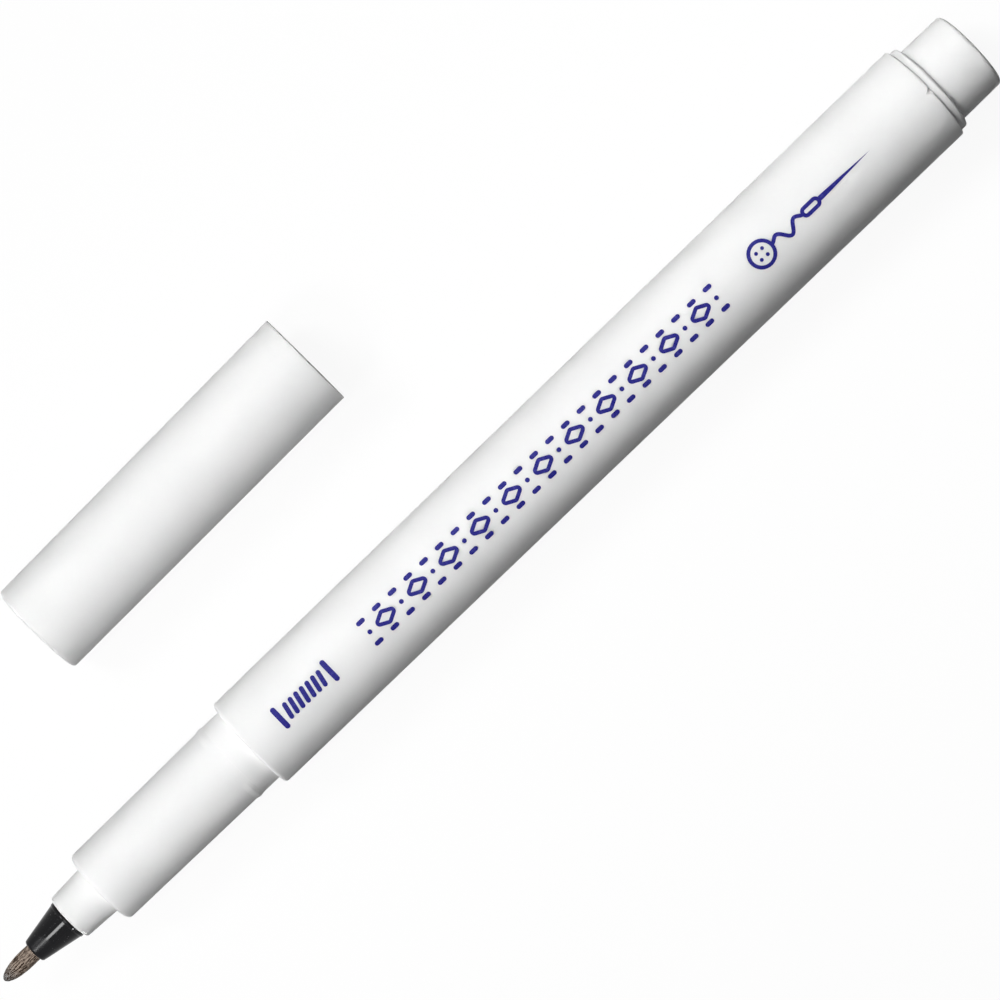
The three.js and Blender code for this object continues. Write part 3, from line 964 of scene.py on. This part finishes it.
class MARKER_OT_front_section(Operator):
    """Build the nose, its collar with the air notches, and the spigot inside the barrel"""

    bl_idname = "marker_pen.front_section"
    bl_label = "Front section"

    def execute(self, context):
        sizes = context.scene.marker_body
        collar_front, spigot_rear = span("front_section")
        barrel_front, _ = span("barrel")
        reservoir_front, _ = span("ink_reservoir")
        nose_front = collar_front + sizes.collar_length
        wall_rear = nose_front + sizes.nose_wall
        nose_small, nose_large = sizes.nose_front / 2, sizes.nose_rear / 2
        slope = (nose_large - nose_small) / (barrel_front - nose_front)
        crest = barrel_front - sizes.bead_setback
        half_bead = sizes.bead_width / 2
        nose_at_crest = nose_small + slope * (crest - nose_front)
        spigot, socket = widest("front_section"), sizes.reservoir_socket / 2
        stop, bore = socket - sizes.reservoir_stop, sizes.collar_bore / 2
        corners = [
            corner(collar_front, sizes.collar_front / 2, sizes.collar_round),
            corner(nose_front, sizes.collar_rear / 2, EASED),
            corner(nose_front, nose_small, sizes.nose_round),
            corner(crest - half_bead, nose_at_crest - slope * half_bead, half_bead),
            corner(crest, nose_at_crest + sizes.bead_height, half_bead),
            corner(crest + half_bead, nose_large, half_bead),
            corner(barrel_front, nose_large),
            corner(barrel_front, spigot),
            corner(spigot_rear, spigot, LEAD_IN),
            corner(spigot_rear, socket, EASED),
            corner(reservoir_front, socket, EASED),
            corner(reservoir_front, stop, EASED),
            corner(wall_rear, stop, EASED),
            corner(wall_rear, bore, EASED),
            corner(collar_front, bore, EASED),
        ]

        def bead_fade(at):
            """Sinks the bead towards the nose's top and bottom, so that it shows at both sides."""
            radius = math.hypot(at.y, at.z)
            rise = radius - nose_small - slope * (at.x - nose_front)
            if abs(at.x - crest) > half_bead or rise < 0:
                return 0.0
            faded = (abs(at.z) / radius - sizes.bead_full) / (sizes.bead_gone - sizes.bead_full)
            return min(1.0, max(0.0, faded)) * rise / sizes.bead_height

        cut = {"relief": bead_fade, "depth": sizes.bead_height}
        nose = turned("front_nose", corners, pen_place(), ring=True, **cut)
        rim = (collar_front - sizes.vent_depth, collar_front + sizes.vent_depth)
        turns = (sizes.vent_turn, sizes.vent_turn + math.pi)
        # The notches' bars reach from well inside the bore to well outside the collar
        notches = bars("notch", *rim, bore / 2, sizes.collar_front, sizes.vent_width, turns)
        combine(nose, notches, "DIFFERENCE")
        dress(nose, "front_section", "pen", "white_plastic")
        return {"FINISHED"}


class MARKER_OT_nib_holder(Operator):
    """Build the black cone that grips the nib"""

    bl_idname = "marker_pen.nib_holder"
    bl_label = "Nib holder"

    def execute(self, context):
        sizes = context.scene.marker_point
        front, stem_rear = span("nib_holder")
        collar_front, _ = span("front_section")
        lip_rear = collar_front - sizes.neck_width
        lip_front = lip_rear - sizes.lip_width
        lip, stem, nib = sizes.holder_base / 2, sizes.stem / 2, widest("nib", NIB_SIDES)
        cone = lip - sizes.lip_height
        corners = [
            corner(front, sizes.holder_front / 2, sizes.holder_round),
            corner(lip_front, cone, sizes.lip_fillet),
            corner(lip_front + sizes.lip_height, lip, sizes.lip_round),
            corner(lip_rear, lip, EASED),
            corner(lip_rear, cone, EASED / 2),
            corner(collar_front, cone, EASED / 2),
            corner(collar_front, stem, EASED),
            corner(stem_rear, stem, LEAD_IN),
            corner(stem_rear, nib, EASED),
            corner(front, nib, EASED),
        ]
        holder = turned("nib_grip", corners, pen_place(), ring=True, segments=SMALL_SEGMENTS)
        dress(holder, "nib_holder", "pen", "black_plastic")
        return {"FINISHED"}


class MARKER_OT_nib(Operator):
    """Build the bonded-fibre nib with its bullet point"""

    bl_idname = "marker_pen.nib"
    bl_label = "Nib"

    def execute(self, context):
        sizes = context.scene.marker_point
        tip, rear = span("nib")
        holder_front, _ = span("nib_holder")
        radius = widest("nib", NIB_SIDES)
        corners = [corner(tip, 0)]
        for step in range(POINT_STEPS):
            lean = (step + 1) / POINT_STEPS * math.pi / 2
            along = tip + sizes.nib_point * (1 - math.cos(lean))
            corners.append(corner(along, radius * math.sin(lean)))
        shank_front = tip + sizes.nib_point
        shank_rear = holder_front + sizes.relief_inside
        for step in range(SHANK_STEPS):
            part = (step + 1) / SHANK_STEPS
            corners.append(corner(shank_front + part * (shank_rear - shank_front), radius))
        corners += [corner(rear, radius, SOFT), corner(rear, 0)]
        spacing = Vector((1 / sizes.fibre_run, 1 / sizes.fibre_width, 1 / sizes.fibre_width))

        def grooves(at):
            """Shallow grooves between strands that run along the nib, fading out at its tip."""
            level = sizes.fibre_level + sizes.fibre_contrast * noise.noise(at * spacing)
            fade = min(1.0, math.hypot(at.y, at.z) / (sizes.smooth_tip * radius))
            return fade * min(1.0, max(0.0, level))

        cut = {"relief": grooves, "depth": sizes.fibre_depth}
        nib = turned("nib_rod", corners, pen_place(), segments=NIB_SEGMENTS, **cut)
        dress(nib, "nib", "pen", "nib_fibre")
        return {"FINISHED"}


class MARKER_OT_end_plug(Operator):
    """Build the tail plug with its flange and boss"""

    bl_idname = "marker_pen.end_plug"
    bl_label = "End plug"

    def execute(self, context):
        sizes = context.scene.marker_body
        plug_front, pen_rear = span("end_plug")
        _, barrel_rear = span("barrel")
        flange_rear = barrel_rear + sizes.flange_length
        flange, spigot = widest("end_plug"), widest("front_section")
        core_rear, core = pen_rear - sizes.boss_wall, sizes.plug_core / 2
        socket_rear, socket = plug_front + sizes.plug_socket, sizes.reservoir_socket / 2
        corners = [
            corner(core_rear, 0),
            corner(core_rear, core, EASED),
            corner(socket_rear, core, EASED),
            corner(socket_rear, socket, EASED),
            corner(plug_front, socket, EASED),
            corner(plug_front, spigot, LEAD_IN),
            corner(barrel_rear, spigot),
            corner(barrel_rear, flange, EASED),
            corner(flange_rear, flange, sizes.flange_round),
            corner(flange_rear, sizes.boss_root / 2, sizes.flange_fillet),
            corner(pen_rear, sizes.boss_end / 2, sizes.boss_round),
            corner(pen_rear, 0),
        ]
        dress(turned("tail_plug", corners, pen_place()), "end_plug", "pen", "white_plastic")
        return {"FINISHED"}


class MARKER_OT_cap(Operator):
    """Build the cap's shell and the liner inside it"""

    bl_idname = "marker_pen.cap"
    bl_label = "Cap"

    def execute(self, context):
        sizes = context.scene.marker_cap
        outer, bore, rim = widest("cap_shell"), sizes.bore / 2, sizes.rim / 2
        mouth = cap_length(outer)
        rim_rear = mouth - sizes.rim_setback
        rim_front = rim_rear - sizes.rim_width
        ramp = sizes.rim_width / 3
        corners = [
            corner(0, 0),
            corner(0, sizes.end / 2, sizes.end_round),
            corner(mouth, outer, sizes.mouth_round),
            corner(mouth, bore + sizes.mouth_chamfer, EASED),
            corner(mouth - sizes.mouth_chamfer, bore, EASED),
            corner(rim_rear, bore, EASED),
            corner(rim_rear - ramp, rim, EASED),
            corner(rim_front + ramp, rim, EASED),
            corner(rim_front, bore, EASED),
            corner(sizes.end_wall, bore, SOFT),
            corner(sizes.end_wall, 0),
        ]
        dress(turned("cap_cover", corners, cap_place()), "cap_shell", "cap", "white_plastic")

        low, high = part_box("cap_liner")
        disc, inner = bore - EASED, sizes.liner_bore / 2
        tube = inner + sizes.liner_wall
        front, disc_rear = sizes.end_wall + EASED, sizes.end_wall + sizes.liner_base
        rear = front + (high.x - low.x)
        corners = [
            corner(front, 0),
            corner(front, disc, EASED),
            corner(disc_rear, disc, EASED),
            corner(disc_rear, tube, EASED),
            corner(rear, tube, SOFT),
            corner(rear, inner, EASED),
            corner(rear - sizes.lip_width / 2, sizes.liner_lip / 2, SOFT),
            corner(rear - sizes.lip_width, inner, EASED),
            corner(disc_rear, inner, EASED),
            corner(disc_rear, 0),
        ]
        liner = turned("cap_seal", corners, cap_place(), segments=SMALL_SEGMENTS)
        dress(liner, "cap_liner", "cap", "white_plastic")
        return {"FINISHED"}


class MARKER_OT_reservoir(Operator):
    """Finish the ink reservoir and the film round it"""

    bl_idname = "marker_pen.reservoir"
    bl_label = "Ink reservoir"

    def execute(self, context):
        paint(frame["nodes"]["ink_reservoir"], "reservoir_fibre")
        paint(frame["nodes"]["reservoir_film"], "clear_film")
        return {"FINISHED"}


class MARKER_OT_print(Operator):
    """Build the printed ornament: a spool, a stitched border, and a threaded needle with a button"""

    bl_idname = "marker_pen.print"
    bl_label = "Print"

    def execute(self, context):
        sizes = context.scene.marker_print
        front, rear = span("barrel")
        front_radius, rear_radius = context.scene.marker_body.barrel_front / 2, widest("barrel")
        tip, _ = span("nib")
        mesh = bmesh.new()

        def wrap(at, level):
            """Puts a flat point (from the nib's tip, up from the middle line) on the barrel."""
            along = tip + at.x
            part = (along - front) / (rear - front)
            radius = front_radius + part * (rear_radius - front_radius)
            turn = at.y / radius - sizes.turn
            radius += level * sizes.ink
            return Vector((along, radius * math.sin(turn), radius * math.cos(turn)))

        def draw(points, width, **kind):
            """Adds a printed line to the mesh."""
            stroke(mesh, points, width, wrap, **kind)

        reach = sizes.half_height - sizes.line / 2
        self.spool(sizes, reach, draw)
        self.border(sizes, reach, draw)
        self.needle(sizes, reach, draw)
        dress(finished("barrel_print", mesh, pen_place()), None, "pen", "print_ink")
        return {"FINISHED"}

    def spool(self, sizes, reach, draw):
        """Two flanges with slanting turns of thread between them."""
        start = sizes.spool_start + sizes.line / 2
        end = sizes.spool_start + sizes.spool_length - sizes.line / 2
        for along in (start, end):
            draw([(along, -reach), (along, reach)], sizes.flange_line)
        wound, slant = sizes.wound * reach, sizes.winding / 2
        turns = int((end - start - slant) / sizes.winding) - 1
        first = (start + end - slant - (turns - 1) * sizes.winding) / 2
        for i in range(turns):
            along = first + i * sizes.winding
            draw([(along, -wound), (along + slant, wound)], sizes.line)

    def border(self, sizes, reach, draw):
        """Two rows of running stitches with diamonds and dots between them."""
        half_line = sizes.line / 2
        pitch = sizes.stitch + sizes.stitch_gap
        for i in range(int((sizes.border_length + sizes.stitch_gap) / pitch)):
            start = sizes.border_start + i * pitch
            middle, end = start + sizes.stitch / 2, start + sizes.stitch
            for up in (-reach, reach):
                draw([(start + half_line, up), (end - half_line, up)], sizes.line)
            if i % 2:
                shape = diamond(middle, sizes.diamond_width, sizes.diamond_height, half_line)
                draw(shape, sizes.thread, ring=True)
            else:
                draw([(middle - half_line, 0), (middle + half_line, 0)], sizes.line)

    def needle(self, sizes, reach, draw):
        """A button, and a thread that waves from it to the eye of a needle."""
        middle = sizes.button_start + sizes.half_height
        draw(circle(middle, reach), sizes.button_line, ring=True)
        half_hole = Vector((sizes.button_hole / 2, 0))
        for along, up in ((-1, -1), (-1, 1), (1, -1), (1, 1)):
            hole = Vector((middle + along * sizes.button_holes, up * sizes.button_holes))
            draw([hole - half_hole, hole + half_hole], sizes.button_hole)
        start = middle + reach
        steps = int(sizes.thread_run / (PRINT_STEP / 2))
        thread = []
        for part in (step / steps for step in range(steps + 1)):
            wave = math.sin(math.pi * part) * math.sin(sizes.thread_turns * math.pi * part)
            thread.append((start + part * sizes.thread_run, sizes.thread_swing * wave))
        draw(thread, sizes.thread)
        eye = start + sizes.thread_run + sizes.eye_length / 2
        draw(slot_shape(eye, sizes.eye_length, sizes.eye_height), sizes.thread, ring=True)
        body, point = eye + sizes.eye_length / 2, sizes.needle_end
        draw([(body, 0), (point, 0)], sizes.needle_line, taper=point - body)


def placed(name, data, location, rotation):
    """A camera or a lamp in the scene."""
    thing = bpy.data.objects.new(name, data)
    thing.location = location
    thing.rotation_euler = rotation
    bpy.context.scene.collection.objects.link(thing)
    return thing


class MARKER_OT_stage(Operator):
    """Build the floor, the lamps and the camera"""

    bl_idname = "marker_pen.stage"
    bl_label = "Stage"

    def execute(self, context):
        scene = context.scene
        sizes = scene.marker_stage
        scene.view_settings.view_transform = "Standard"
        tip, _ = span("nib")
        tail, _ = mount("tail_end_face")
        target = Vector((tip + sizes.view_along, tail.y + sizes.view_aside, tail.z))
        self.floor(sizes)

        data = bpy.data.cameras.new("camera")
        data.sensor_width = 36
        data.lens = data.sensor_width * sizes.view_height / sizes.view_width
        data.clip_start = 10 * MM
        above = target + Vector((0, 0, sizes.view_height))
        scene.camera = placed("camera", data, above, (0, 0, -sizes.pen_angle))

        for name in ("point", "front", "main", "side"):
            data = bpy.data.lights.new(f"{name}_lamp", "AREA")
            data.shape = "SQUARE"
            data.size = getattr(sizes, f"{name}_size")
            data.spread = getattr(sizes, f"{name}_beam")
            data.energy = getattr(sizes, f"{name}_power")
            place = Vector(getattr(sizes, f"{name}_lamp"))
            look = Vector(getattr(sizes, f"{name}_aim")) - place
            turn = look.to_track_quat("-Z", "Y").to_euler()
            placed(f"{name}_lamp", data, target + place, turn).visible_camera = False

        scene.world = bpy.data.worlds.new("studio")
        scene.world.use_nodes = True
        tree = scene.world.node_tree
        strength = mapped(tree, seen_share(tree), 0, 1, sizes.surround, 1)
        feed(tree, tree.nodes["Background"], {"Strength": strength, "Color": (1, 1, 1, 1)})
        return {"FINISHED"}

    def floor(self, sizes):
        """Build a wide floor, low enough for the true round barrel to rest on."""
        mesh = bmesh.new()
        squares = {"x_segments": FLOOR_SQUARES, "y_segments": FLOOR_SQUARES}
        bmesh.ops.create_grid(mesh, size=sizes.floor_size / 2, **squares)
        drop = widest("barrel") * (1 - FLAT_SIDE)
        floor = finished("floor", mesh, Matrix.Translation((0, 0, -drop)))
        floor.data.materials.append(new_material("floor_paper", floor_paper_looks, sizes))


class MARKER_PT_panel(Panel):
    """Lists the pieces, with their sizes and colours"""

    bl_label = "Marker pen"
    bl_idname = "MARKER_PT_panel"
    bl_space_type = "VIEW_3D"
    bl_region_type = "UI"
    bl_category = "Marker pen"

    def draw(self, context):
        column = self.layout.column(align=True)
        for operator in PIECES:
            column.operator(operator.bl_idname)
        for group_name in SETTINGS:
            box = self.layout.box()
            settings = getattr(context.scene, group_name)
            for name in settings.__annotations__:
                box.prop(settings, name)


SETTINGS = {
    "marker_body": BodySizes,
    "marker_point": PointSizes,
    "marker_cap": CapSizes,
    "marker_print": PrintSizes,
    "marker_finishes": Finishes,
    "marker_stage": StageSizes,
}
PIECES = (
    MARKER_OT_barrel,
    MARKER_OT_front_section,
    MARKER_OT_nib_holder,
    MARKER_OT_nib,
    MARKER_OT_end_plug,
    MARKER_OT_cap,
    MARKER_OT_reservoir,
    MARKER_OT_print,
    MARKER_OT_stage,
)
CLASSES = (*SETTINGS.values(), *PIECES, MARKER_PT_panel)


def register():
    for each in CLASSES:
        bpy.utils.register_class(each)
    for name, settings in SETTINGS.items():
        setattr(bpy.types.Scene, name, PointerProperty(type=settings))


def unregister():
    for name in SETTINGS:
        delattr(bpy.types.Scene, name)
    for each in reversed(CLASSES):
        bpy.utils.unregister_class(each)


def main():
    register()
    bpy.ops.marker_pen.barrel()
    bpy.ops.marker_pen.front_section()
    bpy.ops.marker_pen.nib_holder()
    bpy.ops.marker_pen.nib()
    bpy.ops.marker_pen.end_plug()
    bpy.ops.marker_pen.cap()
    bpy.ops.marker_pen.reservoir()
    bpy.ops.marker_pen.print()
    bpy.ops.marker_pen.stage()


if __name__ == "__main__":
    main()
